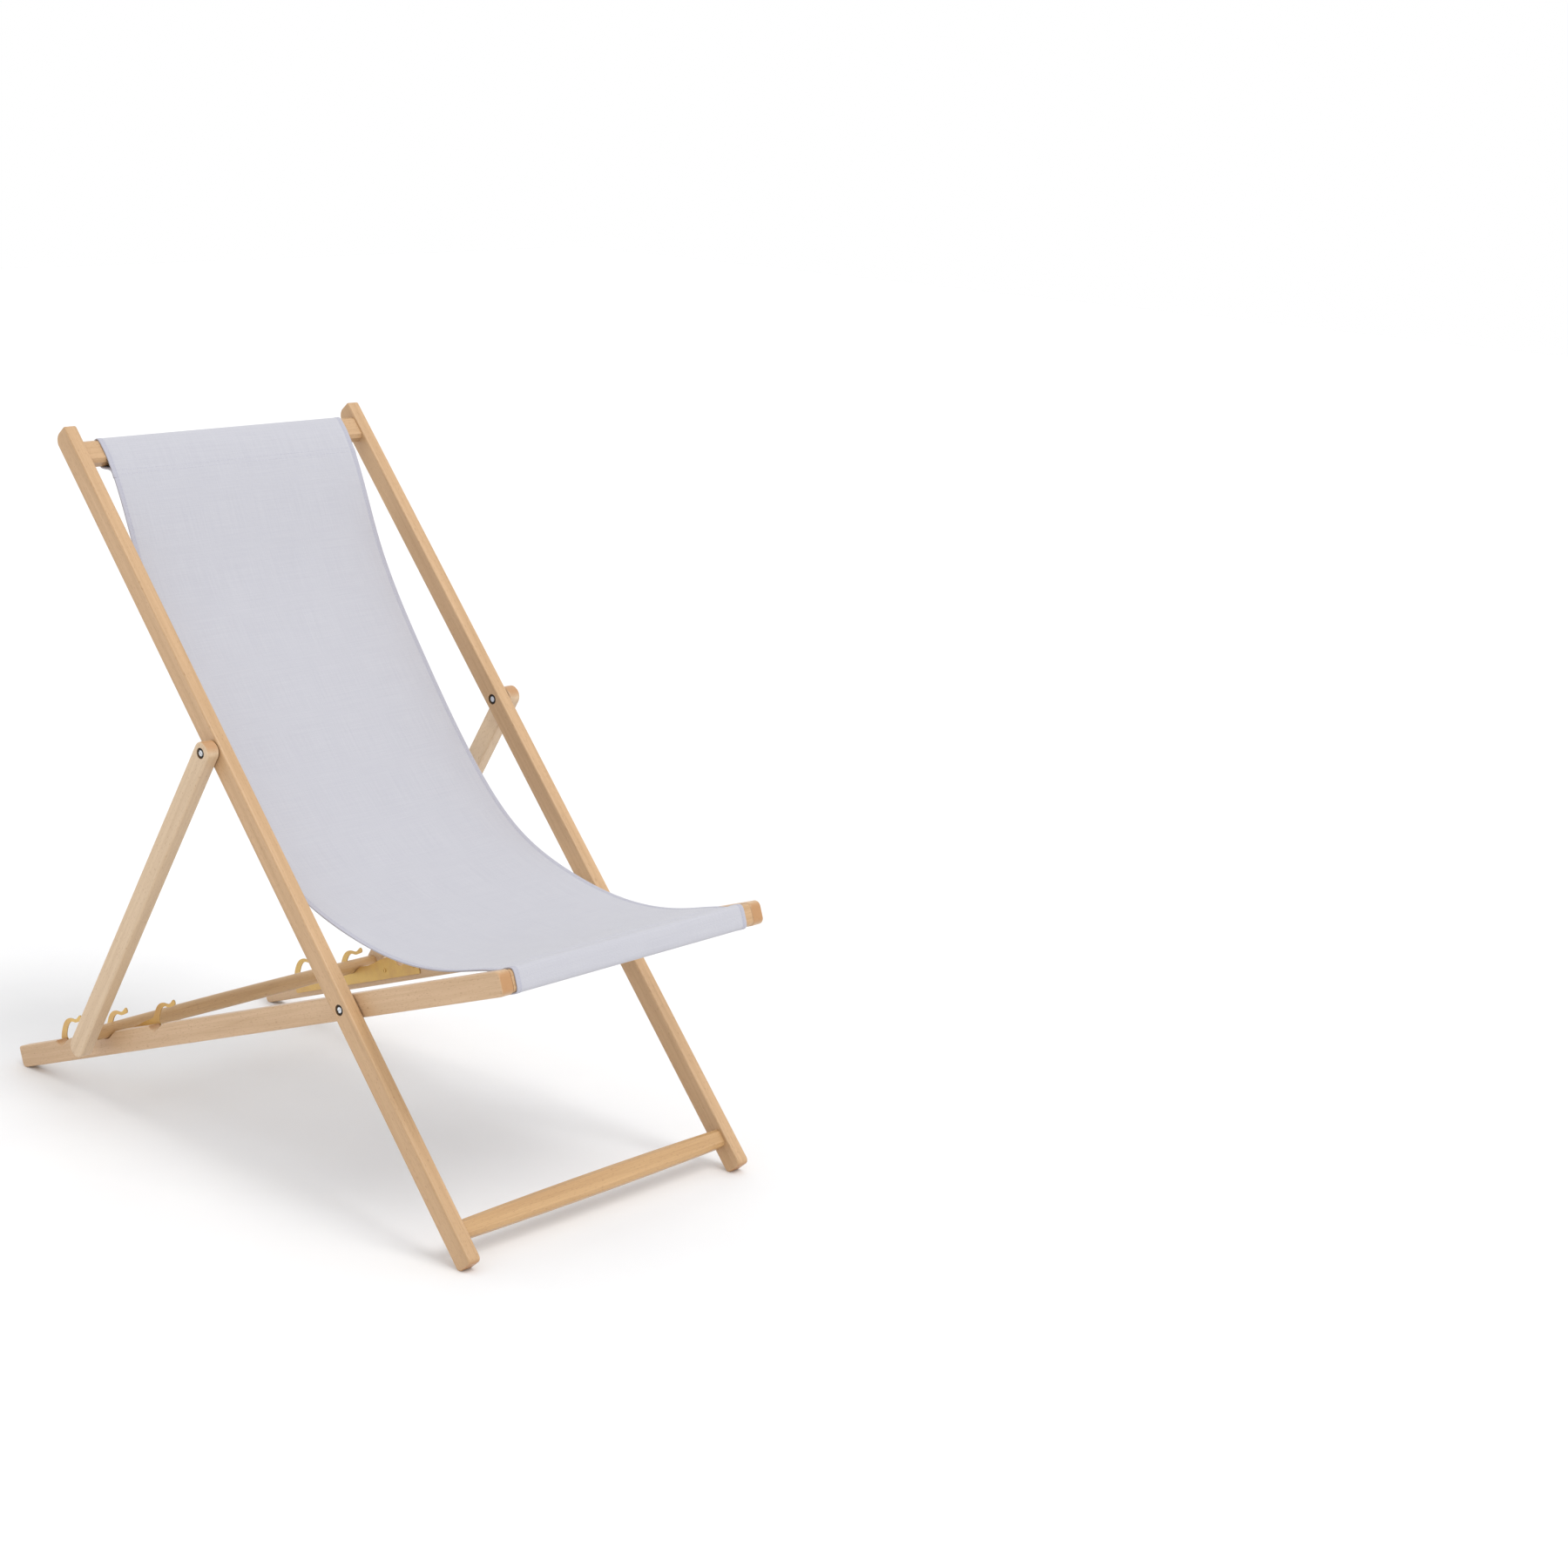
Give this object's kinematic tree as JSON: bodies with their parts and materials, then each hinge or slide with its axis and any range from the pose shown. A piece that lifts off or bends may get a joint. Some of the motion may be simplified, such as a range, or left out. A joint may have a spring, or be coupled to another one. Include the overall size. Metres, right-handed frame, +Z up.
{
  "type": "folding deck chair",
  "caption": "Folding beech deck chair: long back frame, crossing seat frame with ratchet notches, hinged prop frame and a hung cloth sling.",
  "frame": {"origin": "on the ground, in the middle of the chair's footprint", "axes": "+X towards the sitter's left, across the chair; the sitter faces -Y; +Z up"},
  "size_m": [0.5652, 1.067, 0.9859],
  "materials": {
    "beech": "planed beech, clear satin lacquer",
    "yellow_zinc_steel": "stamped steel, yellow passivated zinc plating",
    "bright_zinc_steel": "bright zinc-plated steel",
    "canvas": "plain-woven cotton canvas, pale lavender grey"
  },
  "bodies": {
    "back_frame": {"back_rail_left": "beech", "back_rail_right": "beech", "top_rail": "beech", "bottom_rail": "beech", "main_pivot_bolt_left": "bright_zinc_steel", "main_pivot_bolt_right": "bright_zinc_steel", "main_pivot_nut_left": "bright_zinc_steel", "main_pivot_nut_right": "bright_zinc_steel", "main_pivot_washer_left": "bright_zinc_steel", "main_pivot_washer_right": "bright_zinc_steel", "prop_pivot_bolt_left": "bright_zinc_steel", "prop_pivot_bolt_right": "bright_zinc_steel", "prop_pivot_nut_left": "bright_zinc_steel", "prop_pivot_nut_right": "bright_zinc_steel", "prop_pivot_washer_left": "bright_zinc_steel", "prop_pivot_washer_right": "bright_zinc_steel", "sling": "canvas"},
    "seat_frame": {"seat_rail_left": "beech", "seat_rail_right": "beech", "front_rail": "beech", "ratchet_plate_left": "yellow_zinc_steel", "ratchet_plate_right": "yellow_zinc_steel", "ratchet_screws_left": "bright_zinc_steel", "ratchet_screws_right": "bright_zinc_steel"},
    "prop_frame": {"prop_strut_left": "beech", "prop_strut_right": "beech", "prop_dowel": "beech"}
  },
  "joints": [
    {"name": "seat_fold", "type": "hinge", "parent": "back_frame", "child": "seat_frame", "pos_m": [0, -0.2423, 0.2905], "axis": [1, 0, 0], "range_deg": [0, 64.5], "deforming": ["sling"]},
    {"name": "prop_swing", "type": "hinge", "parent": "back_frame", "child": "prop_frame", "pos_m": [0, 0.02066, 0.58926], "axis": [1, 0, 0], "range_deg": [0, 112]}
  ],
  "couplings": [
    {"joint": "prop_swing", "follows": "seat_fold", "ratio": 1.736}
  ]
}
